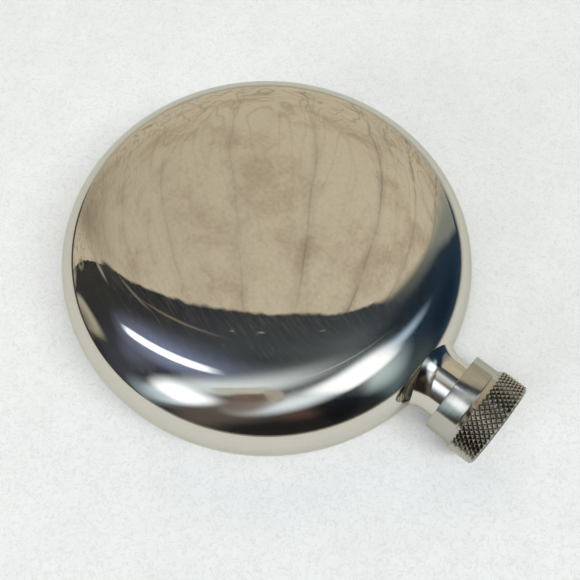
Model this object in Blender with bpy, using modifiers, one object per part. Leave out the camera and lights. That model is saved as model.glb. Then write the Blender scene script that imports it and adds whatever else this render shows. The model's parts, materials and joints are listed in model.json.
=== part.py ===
"""Round pocket flask: two pressed half shells, a brazed neck, and a knurled screw cap with its liner and seal.

The flask lies on its back. The origin is the middle of the small flat land that it rests on, +Z points up
through the domed faces, and +X runs along the neck towards the cap. All sizes are in metres.
"""
import math

import bmesh
import bpy
import numpy as np

# Body: two pressed half shells that meet at the rim
BODY_DIAMETER = 0.0950
BODY_THICKNESS = 0.0253
FACE_DOME_RISE = 0.00156
RIM_SQUARENESS = 8.8
REST_LAND_RADIUS = 0.0180
SHELL_WALL = 0.0007

# Neck: a tube with a flared foot that follows the rim, and a thread under the cap
NECK_DIAMETER = 0.0139
NECK_SHOWING = 0.0047
FLARE_RADIUS = 0.0030
FLARE_EDGE = 0.0002
NECK_REACH_INSIDE = 0.0012
NECK_COVERED = 0.0003
NECK_STEP = 0.00075
MOUTH_WALL = 0.0009
MOUTH_CHAMFER = 0.0002

# Thread shared by the neck and the cap's liner
THREAD_PITCH = 0.0020
THREAD_DEPTH = 0.0006
THREAD_TURNS = 3
THREAD_ROOT_WIDTH = 0.0009
THREAD_CREST_WIDTH = 0.0004
THREAD_CLEARANCE = 0.00025
THREAD_SINK = 0.00015
THREAD_TO_MOUTH = 0.0009

# Cap: a turned shell, the threaded liner pressed into it, and the sealing disc
SLEEVE_LENGTH = 0.0052
SHOULDER_LENGTH = 0.0011
KNURL_LENGTH = 0.00555
CAP_CHAMFER = 0.00055
SLEEVE_EDGE = 0.0002
CAP_WALL = 0.00099
CAP_TOP = 0.0009
KNURL_STEP = 0.00089
KNURL_DEPTH = 0.0004
KNURL_END_SHARE = 0.4
KNURL_COUNT = 46
LINER_WALL = 0.00105
LINER_END = 0.0008
LINER_RECESS = 0.0008
SEAL_THICKNESS = 0.0010
SEAL_EDGE = 0.0002

# Clearances between pieces that touch on the real flask
SEAM_GAP = 0.0003
BRAZE_GAP = 0.0003
SEAT_GAP = 0.0003

# Facets
BODY_STEPS = 60
FACE_POINTS = 4
RIM_POINTS = 9
FACE_SHARE = 0.72
FACE_MARGIN = 0.1
NECK_STEPS = 36
HALF_FACET = math.pi / NECK_STEPS
FLARE_POINTS = 6
FLARE_SAMPLES = 200
FOOT_POINTS = 3
CUTTER_DEPTH = 0.0240
SEARCH_STEPS = 40
SLOPE_STEP = 0.00001
MERGE_DISTANCE = 0.00001
SHARP_ANGLE = math.radians(30)

# Places along the neck's axis, measured from the middle of the body
BODY_RADIUS = BODY_DIAMETER / 2
HALF_THICKNESS = BODY_THICKNESS / 2
NECK_RADIUS = NECK_DIAMETER / 2
CAP_EDGE_X = BODY_RADIUS + NECK_SHOWING
CAP_LENGTH = SLEEVE_LENGTH + SHOULDER_LENGTH + KNURL_LENGTH + CAP_CHAMFER
CAP_INNER_END = CAP_LENGTH - CAP_TOP
LINER_TOP = CAP_INNER_END - SEAT_GAP
SEAL_TOP = LINER_TOP - LINER_END - SEAT_GAP
MOUTH_X = CAP_EDGE_X + SEAL_TOP - SEAL_THICKNESS - SEAT_GAP
NECK_STEP_X = CAP_EDGE_X + NECK_COVERED
THREAD_START_X = MOUTH_X - THREAD_TO_MOUTH - THREAD_TURNS * THREAD_PITCH

# Radii that follow from the neck outwards
THREAD_ROOT_RADIUS = NECK_RADIUS - NECK_STEP
THREAD_CREST_RADIUS = THREAD_ROOT_RADIUS + THREAD_DEPTH
MOUTH_RADIUS = THREAD_ROOT_RADIUS - MOUTH_WALL
LINER_BORE_RADIUS = THREAD_CREST_RADIUS + THREAD_CLEARANCE
LINER_RADIUS = LINER_BORE_RADIUS + LINER_WALL
CAP_BORE_RADIUS = LINER_RADIUS + SEAT_GAP
SLEEVE_RADIUS = CAP_BORE_RADIUS + CAP_WALL
KNURL_RADIUS = SLEEVE_RADIUS + KNURL_STEP


def face_height(share):
    """Height of the outer face over the middle plane at a share of the body's radius."""
    return ((HALF_THICKNESS - FACE_DOME_RISE) * np.sqrt(np.maximum(1 - share ** RIM_SQUARENESS, 0))
            + FACE_DOME_RISE * (1 - share ** 2))


MIDDLE_HEIGHT = float(face_height(np.array(REST_LAND_RADIUS / BODY_RADIUS)))


def body_profile():
    """Outer (radius, height) points of one half, from the middle of the face out to the rim."""
    land = REST_LAND_RADIUS / BODY_RADIUS
    face = np.linspace(land, max(FACE_SHARE, land + FACE_MARGIN), FACE_POINTS)
    turn_start = math.asin(face[-1] ** (RIM_SQUARENESS / 2))
    turns = np.linspace(turn_start, math.pi / 2, RIM_POINTS + 1)[1:]
    rim = np.sin(turns) ** (2 / RIM_SQUARENESS)
    shares = np.concatenate([[0.0], face, rim])
    return shares * BODY_RADIUS, face_height(shares)


def wall_profile(radii, heights):
    """The inner points, one wall inside the outer ones, square to the outer surface."""
    slope_r = np.gradient(radii)
    slope_h = np.gradient(heights)
    slope_r[0], slope_h[0] = 1.0, 0.0
    slope_r[-1], slope_h[-1] = 0.0, -1.0
    length = np.hypot(slope_r, slope_h)
    return radii + SHELL_WALL * slope_h / length, heights - SHELL_WALL * slope_r / length


def rim_reach(side, height):
    """Distance from the body's middle to its outer surface along the neck, at a side offset and a height."""
    low = np.zeros_like(height)
    high = np.ones_like(height)
    for _ in range(SEARCH_STEPS):
        middle = (low + high) / 2
        above = face_height(middle) > np.abs(height)
        low = np.where(above, middle, low)
        high = np.where(above, high, middle)
    return np.sqrt(np.maximum((low * BODY_RADIUS) ** 2 - side ** 2, 0))


def rim_point(across, angle):
    """Point (reach, side, height) of the rim surface at a distance across the neck's axis."""
    side = across * np.cos(angle)
    height = across * np.sin(angle)
    return np.stack([rim_reach(side, height), side, height], axis=-1)


def rim_normal(across, angle):
    """Outward direction of the rim surface, from two short steps over it."""
    step = SLOPE_STEP
    side = across * np.cos(angle)
    height = across * np.sin(angle)
    by_side = (rim_reach(side + step, height) - rim_reach(side - step, height)) / (2 * step)
    by_height = (rim_reach(side, height + step) - rim_reach(side, height - step)) / (2 * step)
    normal = np.stack([np.ones_like(side), -by_side, -by_height], axis=-1)
    return normal / np.linalg.norm(normal, axis=-1, keepdims=True)


def flare_lift(out):
    """How far the round flare stands off the rim, along the neck, at a distance out from the neck."""
    inward = FLARE_RADIUS - out
    return FLARE_RADIUS - np.sqrt(np.maximum(FLARE_RADIUS ** 2 - inward ** 2, 0))


def collection(name):
    """A new collection in the scene."""
    made = bpy.data.collections.new(name)
    bpy.context.scene.collection.children.link(made)
    return made


def material(name, color, roughness, metallic):
    """A Principled material."""
    made = bpy.data.materials.new(name)
    made.use_nodes = True
    shader = made.node_tree.nodes["Principled BSDF"]
    shader.inputs["Base Color"].default_value = (*color, 1.0)
    shader.inputs["Roughness"].default_value = roughness
    shader.inputs["Metallic"].default_value = metallic
    return made


def place(name, mesh, home, parent=None, finish=None):
    """An object for a mesh, in its collection and under its parent."""
    made = bpy.data.objects.new(name, mesh)
    home.objects.link(made)
    made.parent = parent
    if finish is not None:
        mesh.materials.append(finish)
    return made


def empty(name, home, location, turn=0.0, parent=None):
    """An empty that carries pieces, turned about Y."""
    made = bpy.data.objects.new(name, None)
    home.objects.link(made)
    made.parent = parent
    made.location = location
    made.rotation_euler = (0.0, turn, 0.0)
    made.empty_display_size = 0.01
    return made


def as_cutter(made):
    """Mark an object as a cutter: seen as wire and left out of the model."""
    made.hide_render = True
    made.display_type = 'WIRE'
    return made


def turned(name, profile, steps, home, parent=None, finish=None):
    """A turned piece: a (radius, height) profile, down its outer side, with a Screw modifier."""
    points = [(radius, 0.0, height) for radius, height in profile]
    edges = [(i, i + 1) for i in range(len(points) - 1)]
    mesh = bpy.data.meshes.new(name)
    mesh.from_pydata(points, edges, [])
    made = place(name, mesh, home, parent, finish)
    turn = made.modifiers.new("turn", 'SCREW')
    turn.axis = 'Z'
    turn.angle = 2 * math.pi
    turn.steps = steps
    turn.render_steps = steps
    turn.use_merge_vertices = True
    turn.merge_threshold = MERGE_DISTANCE
    turn.use_smooth_shade = True
    return made


def boolean(made, other, operation):
    """Cut, join or intersect a piece with a cutter."""
    step = made.modifiers.new(other.name, 'BOOLEAN')
    step.operation = operation
    step.object = other
    step.solver = 'EXACT'


def close_mesh(mesh):
    """Merge doubles, fill the open ends and turn the faces outwards."""
    work = bmesh.new()
    work.from_mesh(mesh)
    bmesh.ops.remove_doubles(work, verts=work.verts, dist=MERGE_DISTANCE)
    rims = [edge for edge in work.edges if edge.is_boundary]
    if rims:
        bmesh.ops.holes_fill(work, edges=rims)
    bmesh.ops.recalc_face_normals(work, faces=work.faces)
    work.to_mesh(mesh)
    work.free()


def swept(name, outline, turns, rise, steps, start, home, parent):
    """An outline of (x, y, z) points wound about Z with a Screw modifier, applied and closed at its ends."""
    edges = [(i, (i + 1) % len(outline)) for i in range(len(outline))]
    mesh = bpy.data.meshes.new(name + "_outline")
    mesh.from_pydata(outline, edges, [])
    guide = place(name + "_outline", mesh, home)
    wind = guide.modifiers.new("wind", 'SCREW')
    wind.axis = 'Z'
    wind.angle = 2 * math.pi * turns
    wind.screw_offset = rise
    wind.steps = steps
    wind.render_steps = steps
    wind.use_merge_vertices = False
    bpy.context.view_layer.update()
    wound = bpy.data.meshes.new_from_object(guide.evaluated_get(bpy.context.evaluated_depsgraph_get()))
    wound.name = name
    bpy.data.objects.remove(guide)
    close_mesh(wound)
    made = place(name, wound, home, parent)
    made.rotation_euler = (0.0, 0.0, start)
    return as_cutter(made)


def front_shell(parts, finish):
    """The front half: out over the face and down the rim, then back under the wall."""
    radii, heights = body_profile()
    inner_radii, inner_heights = wall_profile(radii, heights)
    heights[-1] = inner_heights[-1] = SEAM_GAP / 2
    profile = list(zip(radii, heights)) + list(zip(inner_radii[::-1], inner_heights[::-1]))
    made = turned("front_shell", profile, BODY_STEPS, parts, finish=finish)
    made.location = (0.0, 0.0, MIDDLE_HEIGHT)
    return made


def back_shell(parts, finish):
    """The back half: the same pressing with a flat land in the middle of its face."""
    radii, heights = body_profile()
    heights = np.minimum(heights, MIDDLE_HEIGHT)
    inner_radii, inner_heights = wall_profile(radii, heights)
    inner_heights = np.minimum(inner_heights, MIDDLE_HEIGHT - SHELL_WALL)
    heights[-1] = inner_heights[-1] = SEAM_GAP / 2
    profile = list(zip(inner_radii, -inner_heights)) + list(zip(radii[::-1], -heights[::-1]))
    made = turned("back_shell", profile, BODY_STEPS, parts, finish=finish)
    made.location = (0.0, 0.0, MIDDLE_HEIGHT)
    return made


def neck_hole(cutters, axis):
    """The round hole through the rim, half of it in each shell."""
    radius = NECK_RADIUS + BRAZE_GAP
    bpy.ops.mesh.primitive_cylinder_add(vertices=NECK_STEPS, radius=radius, depth=CUTTER_DEPTH)
    made = bpy.context.active_object
    made.name = "neck_hole"
    for home in list(made.users_collection):
        home.objects.unlink(made)
    cutters.objects.link(made)
    made.parent = axis
    made.location = (0.0, 0.0, BODY_RADIUS)
    return as_cutter(made)


def neck_rings():
    """Rings of (reach, side, height) points round the neck: up its flare, over the mouth and down the bore."""
    angle = np.linspace(0, 2 * math.pi, NECK_STEPS, endpoint=False)

    def circle(reach, radius):
        return np.stack([np.full(NECK_STEPS, reach), radius * np.cos(angle), radius * np.sin(angle)], axis=-1)

    steps_out = np.linspace(0, FLARE_RADIUS, FLARE_SAMPLES)
    grid_out, grid_angle = np.meshgrid(steps_out, angle, indexing="ij")
    stand = flare_lift(grid_out) * rim_normal(NECK_RADIUS + grid_out, grid_angle)[..., 0]
    edge_out = steps_out[np.argmax(stand < BRAZE_GAP + FLARE_EDGE, axis=0)]

    flare = []
    for step in range(FLARE_POINTS + 1):
        out = edge_out * (step / FLARE_POINTS) ** 2
        ring = rim_point(NECK_RADIUS + out, angle)
        ring[:, 0] += flare_lift(out)
        flare.append(ring)

    foot = []
    lean = np.hypot(*np.moveaxis(rim_normal(NECK_RADIUS + edge_out, angle)[:, 1:], -1, 0))
    for step in range(FOOT_POINTS + 1):
        across = NECK_RADIUS + edge_out * (1 - step / FOOT_POINTS) - BRAZE_GAP * lean
        foot.append(rim_point(across, angle) + BRAZE_GAP * rim_normal(across, angle))
    last_across = np.hypot(foot[-1][:, 1], foot[-1][:, 2])
    foot[-1][:, 1:] *= (NECK_RADIUS / last_across)[:, None]

    inner_end = float(rim_point(np.full(NECK_STEPS, NECK_RADIUS), angle)[:, 0].min()) - NECK_REACH_INSIDE
    tube = [
        circle(inner_end, NECK_RADIUS),
        circle(inner_end, MOUTH_RADIUS),
        circle(MOUTH_X - MOUTH_CHAMFER, MOUTH_RADIUS),
        circle(MOUTH_X, MOUTH_RADIUS + MOUTH_CHAMFER),
        circle(MOUTH_X, THREAD_ROOT_RADIUS - MOUTH_CHAMFER),
        circle(MOUTH_X - MOUTH_CHAMFER, THREAD_ROOT_RADIUS),
        circle(NECK_STEP_X, THREAD_ROOT_RADIUS),
        circle(NECK_STEP_X, NECK_RADIUS),
    ]
    return flare + foot + tube


def neck(parts, cutters, axis, finish):
    """The neck: a loft of the rings above, joined with its thread."""
    rings = neck_rings()
    work = bmesh.new()
    rows = [[work.verts.new((-height, side, reach)) for reach, side, height in ring] for ring in rings]
    for row, following in zip(rows, rows[1:] + rows[:1]):
        for i in range(NECK_STEPS):
            after = (i + 1) % NECK_STEPS
            work.faces.new((row[i], row[after], following[after], following[i]))
    mesh = bpy.data.meshes.new("neck")
    work.to_mesh(mesh)
    work.free()
    close_mesh(mesh)
    mesh.shade_smooth()
    mesh.set_sharp_from_angle(angle=SHARP_ANGLE)
    made = place("neck", mesh, parts, axis, finish)
    ridge = thread_ridge("neck_thread", THREAD_ROOT_RADIUS - THREAD_SINK, THREAD_CREST_RADIUS,
                         THREAD_START_X, HALF_FACET, cutters, axis)
    boolean(made, ridge, 'UNION')
    return made


def thread_ridge(name, base_radius, crest_radius, first_turn, start, cutters, axis):
    """One helical ridge from its base to its crest, right-handed about the neck's axis."""
    base = THREAD_ROOT_WIDTH / 2
    crest = THREAD_CREST_WIDTH / 2
    outline = [
        (base_radius, 0.0, first_turn - base),
        (crest_radius, 0.0, first_turn - crest),
        (crest_radius, 0.0, first_turn + crest),
        (base_radius, 0.0, first_turn + base),
    ]
    rise = THREAD_TURNS * THREAD_PITCH
    return swept(name, outline, THREAD_TURNS, rise, NECK_STEPS * THREAD_TURNS, start, cutters, axis)


def press_knurl(mesh, rows, row_pitch, start):
    """Raise every other point of the band into a pyramid, and crease the grooves between them."""
    valley = KNURL_RADIUS - KNURL_DEPTH
    work = bmesh.new()
    work.from_mesh(mesh)
    grooves = set()
    band = set()
    for point in work.verts:
        radius = math.hypot(point.co.x, point.co.y)
        row = (point.co.z - start) / row_pitch
        if abs(radius - valley) > MERGE_DISTANCE or not -0.1 < row < rows + 0.1:
            continue
        band.add(point)
        column = round(math.atan2(point.co.y, point.co.x) * KNURL_COUNT / math.pi)
        if (column + round(row)) % 2:
            grooves.add(point)
        else:
            lift = KNURL_DEPTH * (KNURL_END_SHARE if round(row) in (0, rows) else 1.0)
            point.co.x *= (valley + lift) / radius
            point.co.y *= (valley + lift) / radius
    for face in [face for face in work.faces if len(face.verts) == 4 and band.issuperset(face.verts)]:
        low = [point for point in face.verts if point in grooves]
        bmesh.utils.face_split(face, low[0], low[1])
    work.to_mesh(mesh)
    work.free()


def cap_shell(parts, axis, finish):
    """The turned cap: plain sleeve, conical shoulder and knurled band round a blind bore."""
    knurl_start = SLEEVE_LENGTH + SHOULDER_LENGTH
    valley = KNURL_RADIUS - KNURL_DEPTH
    rows = round(KNURL_LENGTH / (math.pi * KNURL_RADIUS / KNURL_COUNT))
    row_pitch = KNURL_LENGTH / rows
    band = [(valley, knurl_start + row * row_pitch) for row in range(rows, -1, -1)]
    profile = [
        (0.0, CAP_LENGTH),
        (valley - CAP_CHAMFER, CAP_LENGTH),
        *band,
        (SLEEVE_RADIUS, SLEEVE_LENGTH),
        (SLEEVE_RADIUS, SLEEVE_EDGE),
        (SLEEVE_RADIUS - SLEEVE_EDGE, 0.0),
        (CAP_BORE_RADIUS, 0.0),
        (CAP_BORE_RADIUS, CAP_INNER_END),
        (0.0, CAP_INNER_END),
    ]
    made = turned("cap_shell", profile, 2 * KNURL_COUNT, parts, axis, finish)
    bpy.context.view_layer.update()
    mesh = bpy.data.meshes.new_from_object(made.evaluated_get(bpy.context.evaluated_depsgraph_get()))
    made.modifiers.clear()
    made.data = mesh
    press_knurl(mesh, rows, row_pitch, knurl_start)
    mesh.shade_smooth()
    mesh.set_sharp_from_angle(angle=SHARP_ANGLE)
    return made


def cap_insert(parts, cutters, axis, finish):
    """The liner pressed into the cap: a blind tube with the female thread in its bore."""
    inner_end = LINER_TOP - LINER_END
    profile = [
        (0.0, LINER_TOP),
        (LINER_RADIUS - SEAL_EDGE, LINER_TOP),
        (LINER_RADIUS, LINER_TOP - SEAL_EDGE),
        (LINER_RADIUS, LINER_RECESS),
        (LINER_BORE_RADIUS, LINER_RECESS),
        (LINER_BORE_RADIUS, inner_end),
        (0.0, inner_end),
    ]
    made = turned("cap_insert", profile, NECK_STEPS, parts, axis, finish)
    ridge = thread_ridge("liner_thread", LINER_BORE_RADIUS + THREAD_SINK, LINER_BORE_RADIUS - THREAD_DEPTH,
                         THREAD_START_X - CAP_EDGE_X, math.pi + HALF_FACET, cutters, axis)
    boolean(made, ridge, 'UNION')
    return made


def cap_seal(parts, axis, finish):
    """The soft disc that closes the mouth, loose in the bottom of the liner."""
    radius = LINER_BORE_RADIUS - SEAT_GAP
    bottom = SEAL_TOP - SEAL_THICKNESS
    profile = [
        (0.0, SEAL_TOP),
        (radius - SEAL_EDGE, SEAL_TOP),
        (radius, SEAL_TOP - SEAL_EDGE),
        (radius, bottom + SEAL_EDGE),
        (radius - SEAL_EDGE, bottom),
        (0.0, bottom),
    ]
    return turned("cap_seal", profile, NECK_STEPS, parts, axis, finish)


def main():
    """Build every piece of the flask."""
    for made in list(bpy.data.objects):
        bpy.data.objects.remove(made)

    parts = collection("pocket_flask")
    cutters = collection("cutters")
    polished = material("polished_steel", (0.62, 0.61, 0.58), 0.06, 1.0)
    satin = material("satin_steel", (0.58, 0.56, 0.52), 0.30, 1.0)
    liner = material("liner_plastic", (0.80, 0.80, 0.78), 0.45, 0.0)
    soft = material("seal_silicone", (0.72, 0.72, 0.70), 0.60, 0.0)

    neck_axis = empty("neck_axis", parts, (0.0, 0.0, MIDDLE_HEIGHT), math.pi / 2)
    cap_axis = empty("cap_axis", parts, (0.0, 0.0, CAP_EDGE_X), parent=neck_axis)

    front = front_shell(parts, polished)
    back = back_shell(parts, polished)
    hole = neck_hole(cutters, neck_axis)
    boolean(front, hole, 'DIFFERENCE')
    boolean(back, hole, 'DIFFERENCE')
    neck(parts, cutters, neck_axis, polished)
    cap_shell(parts, cap_axis, satin)
    cap_insert(parts, cutters, cap_axis, liner)
    cap_seal(parts, cap_axis, soft)


main()
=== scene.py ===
"""The looks of a round pocket flask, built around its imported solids.

The two half shells, the neck and the pieces of the cap are drawn again as fine surfaces of the same sizes. They are
finished in polished steel, turned steel, moulded plastic and silicone. A plain studio lights them, and its bright
openings and dark walls show in the polish. Lengths are in metres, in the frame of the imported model.
"""
import json
import logging
import math
from dataclasses import dataclass, field
from enum import Enum
from typing import Any

import bpy
import numpy as np
from mathutils import Matrix, Vector

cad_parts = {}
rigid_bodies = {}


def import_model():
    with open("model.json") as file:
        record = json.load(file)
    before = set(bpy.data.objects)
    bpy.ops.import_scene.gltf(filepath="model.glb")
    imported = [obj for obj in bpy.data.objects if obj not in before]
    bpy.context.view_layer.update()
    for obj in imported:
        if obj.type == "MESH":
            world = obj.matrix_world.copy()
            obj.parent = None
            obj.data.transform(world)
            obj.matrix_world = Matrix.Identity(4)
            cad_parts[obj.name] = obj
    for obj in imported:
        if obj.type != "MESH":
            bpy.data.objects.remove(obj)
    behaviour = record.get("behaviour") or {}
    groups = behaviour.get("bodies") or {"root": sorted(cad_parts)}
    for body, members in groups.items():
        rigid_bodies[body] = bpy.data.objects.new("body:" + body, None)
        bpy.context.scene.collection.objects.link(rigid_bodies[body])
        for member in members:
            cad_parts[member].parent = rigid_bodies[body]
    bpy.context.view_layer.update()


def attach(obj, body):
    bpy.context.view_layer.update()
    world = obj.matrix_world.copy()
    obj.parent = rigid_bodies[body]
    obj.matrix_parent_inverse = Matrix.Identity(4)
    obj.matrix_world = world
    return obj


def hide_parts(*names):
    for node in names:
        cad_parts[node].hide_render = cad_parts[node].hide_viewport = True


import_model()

Array = np.ndarray
Pair = tuple[float, float]
Triple = tuple[float, float, float]
Color = Triple
Ramp = tuple[float, float, float, float]  # a smooth step: its two places, and the values at them
TINY = 1e-9
NOISE_RANGE = (0.3, 0.7)  # between these lies nearly all of a noise

log = logging.getLogger("pocket_flask")


class Half(Enum):
    """The two halves of the body, by the side of the middle plane that each is on."""

    FRONT = 1.0
    BACK = -1.0


def srgb(red: float, green: float, blue: float) -> Color:
    """The linear colour of an sRGB one.

    Args:
        red: its red value, from 0 to 255.
        green: its green value.
        blue: its blue value.

    Returns:
        The three linear values, from 0 to 1.
    """
    share = np.array([red, green, blue], float) / 255
    line = np.where(share <= 0.04045, share / 12.92, ((share + 0.055) / 1.055) ** 2.4)
    return tuple(float(value) for value in line)


# ---- Forms: the sizes of the flask and the formulas of its surfaces


@dataclass(frozen=True)
class BodyForm:
    """The outer form of the body: two shallow domes with a full round rim.

    Attributes:
        dome_rise: how much of the half thickness is the shallow parabola over the face.
        squareness: the power of the superellipse that the rim follows.
        land_radius: radius of the flat land on the back.
        search_steps: how often an interval is halved where a point of the surface is looked for.
    """

    diameter: float = 0.0950
    thickness: float = 0.0253
    dome_rise: float = 0.00156
    squareness: float = 8.8
    land_radius: float = 0.0180
    wall: float = 0.0007
    search_steps: int = 48

    @property
    def radius(self) -> float:
        """Half the diameter."""
        return self.diameter / 2

    @property
    def edge_height(self) -> float:
        """Height of the superellipse edge alone, without the shallow dome."""
        return self.thickness / 2 - self.dome_rise

    @property
    def squash(self) -> float:
        """Thickness over diameter: the height that makes the body as tall as it is wide is divided by this."""
        return self.thickness / self.diameter

    @property
    def middle(self) -> float:
        """Height of the middle plane over the flat land that the flask lies on."""
        return float(self.face_height(np.array(self.land_radius / self.radius)))

    def face_height(self, share: Array) -> Array:
        """Height of the face over the middle plane: a superellipse edge plus a shallow parabola.

        Args:
            share: distance from the middle, as a share of the body's radius.

        Returns:
            The heights, in metres.
        """
        edge = np.sqrt(np.maximum(1 - share ** self.squareness, 0))
        return self.edge_height * edge + self.dome_rise * (1 - share ** 2)

    def reach(self, side: Array, height: Array) -> Array:
        """How far the rim reaches along +X at a side offset and a height over the middle plane.

        Args:
            side: offset along Y.
            height: offset along Z from the middle plane.

        Returns:
            The X of the outer surface, found by halving the interval of the radius.
        """
        low = np.zeros(np.broadcast(side, height).shape)
        high = np.ones_like(low)
        for _ in range(self.search_steps):
            middle = (low + high) / 2
            above = self.face_height(middle) > np.abs(height)
            low = np.where(above, middle, low)
            high = np.where(above, high, middle)
        return np.sqrt(np.maximum((low * self.radius) ** 2 - side ** 2, 0))

    def on_ray(self, ray: Array) -> Array:
        """Points where rays from the middle of the body meet its outer surface.

        Args:
            ray: directions, with the middle plane at height 0.

        Returns:
            The points: each ray times the length at which its height equals the face's height.
        """
        flat = np.hypot(ray[..., 0], ray[..., 1])
        low = np.zeros(flat.shape)
        high = np.full(flat.shape, 2 * self.diameter)
        for _ in range(self.search_steps):
            middle = (low + high) / 2
            share = middle * flat / self.radius
            inside = (share < 1) & (np.abs(middle * ray[..., 2]) < self.face_height(np.minimum(share, 1)))
            low = np.where(inside, middle, low)
            high = np.where(inside, high, middle)
        return ray * low[..., None]

    def normal(self, point: Array) -> Array:
        """Outward directions of the outer surface at points on it, from the slope of the face's formula.

        Args:
            point: points with the middle plane at height 0.

        Returns:
            Unit vectors. Both parts of the slope are multiplied by the edge's root, which is 0 at the rim.
        """
        across = np.maximum(np.hypot(point[..., 0], point[..., 1]), TINY)
        share = np.minimum(across / self.radius, 1)
        dome = self.dome_rise * (1 - share ** 2)
        root = np.maximum(np.abs(point[..., 2]) - dome, 0) / self.edge_height
        steep = self.edge_height * self.squareness / 2 * share ** (self.squareness - 1)
        outward = (steep + 2 * self.dome_rise * share * root) / self.radius
        found = np.stack([outward * point[..., 0] / across, outward * point[..., 1] / across,
                          root * np.sign(point[..., 2])], axis=-1)
        return found / np.maximum(np.linalg.norm(found, axis=-1, keepdims=True), TINY)


@dataclass(frozen=True)
class ThreadForm:
    """The screw thread that the neck and the liner share."""

    pitch: float = 0.0020
    depth: float = 0.0006
    turns: float = 3.0
    root_width: float = 0.0009
    crest_width: float = 0.0004
    run_out: float = 0.7

    def ridge(self, along: Array, angle: Array, first_turn: float, start_angle: float) -> Array:
        """Height of the helical ridge over its root.

        Args:
            along: distances along the axis.
            angle: angles about +X, in radians.
            first_turn: where the ridge's middle starts, along the axis.
            start_angle: the angle at which it starts.

        Returns:
            A trapezium round the nearest turn of the helix, faded over a short run at each end.
        """
        turned = (angle - start_angle) / (2 * math.pi)
        turn = turned + np.round((along - first_turn) / self.pitch - turned)
        off = np.abs(along - first_turn - self.pitch * turn)
        slope = (self.root_width - self.crest_width) / 2
        height = np.clip((self.root_width / 2 - off) / slope, 0, 1)
        ends = np.minimum(turn, self.turns - turn) * 2 * math.pi / self.run_out
        return self.depth * height * np.clip(ends, 0, 1)


@dataclass(frozen=True)
class NeckForm:
    """Sizes of the neck, along X from the middle of the body.

    Attributes:
        radius: the tube's radius at the cap's edge.
        showing: the distance from the rim to the cap's edge.
        covered: how far the tube goes on under the cap, before the step down to the thread.
        flare_side: the flare's arc at the sides: its radius, and the angle at which it leaves the shells.
        flare_top: the same over the faces.
        flare_end: the angle at which the arc becomes the tube, which also sets the tube's taper.
        step: how much smaller the thread's root is than the tube.
        mouth_wall: the wall between the thread's root and the bore.
    """

    body: BodyForm = BodyForm()
    thread: ThreadForm = ThreadForm()
    radius: float = 0.00695
    showing: float = 0.0047
    covered: float = 0.0003
    flare_side: Pair = (0.0036, math.radians(38))
    flare_top: Pair = (0.0060, math.radians(60))
    flare_end: float = math.radians(88.5)
    step: float = 0.00075
    mouth_wall: float = 0.0009
    mouth_chamfer: float = 0.0002
    mouth_x: float = 0.0610
    inner_end_x: float = 0.0438
    first_turn_x: float = 0.0541
    thread_start: float = math.radians(-85)

    @property
    def cap_edge_x(self) -> float:
        """Where the cap's open edge stands."""
        return self.body.radius + self.showing

    @property
    def root_radius(self) -> float:
        """Radius under the thread."""
        return self.radius - self.step

    @property
    def mouth_radius(self) -> float:
        """Radius of the bore."""
        return self.root_radius - self.mouth_wall

    @property
    def taper(self) -> float:
        """How much the tube's radius falls for each step towards the cap."""
        return 1 / math.tan(self.flare_end)

    def tube_radius(self, along: Array) -> Array:
        """Radius of the tube at distances along X: a slight taper that ends at the cap's edge."""
        return self.radius + self.taper * (self.cap_edge_x - along)

    def on_rim(self, across: Array, angle: Array, lift: Array) -> Array:
        """Points over the rim, round the neck's axis.

        Args:
            across: distances from the axis.
            angle: angles about +X from +Y.
            lift: how far each point stands off the rim along +X.

        Returns:
            The points, with the middle plane at height 0.
        """
        side = across * np.cos(angle)
        height = across * np.sin(angle)
        return np.stack([self.body.reach(side, height) + lift, side, height], axis=-1)

    def flare_path(self, share: Array, angle: Array) -> tuple[Array, Array]:
        """The flare as an arc between the shells and the tube, wider over the faces than at the sides.

        Args:
            share: 0 where the flare meets the shells and 1 where it becomes the tube.
            angle: angles about +X from +Y.

        Returns:
            The distances from the axis, and how far each point stands off the rim along +X.
        """
        top = np.sin(angle) ** 2
        arc, start = (side + (over - side) * top for side, over in zip(self.flare_side, self.flare_top))
        turn = start + (self.flare_end - start) * share
        end = (self.body.reach(self.radius * np.cos(angle), self.radius * np.sin(angle))
               + arc * (np.cos(start) - math.cos(self.flare_end)))
        across = self.tube_radius(end) + arc * (math.sin(self.flare_end) - np.sin(turn))
        return across, arc * (np.cos(start) - np.cos(turn))

    def flare_points(self, share: Array, angle: Array) -> Array:
        """Points of the flare, with the middle plane at height 0."""
        across, lift = self.flare_path(share, angle)
        return self.on_rim(across, angle, lift)

    def foot_radius(self, angle: Array) -> Array:
        """Distances from the axis at which the flare meets the shells."""
        return self.flare_path(np.zeros(angle.shape), angle)[0]


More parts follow.
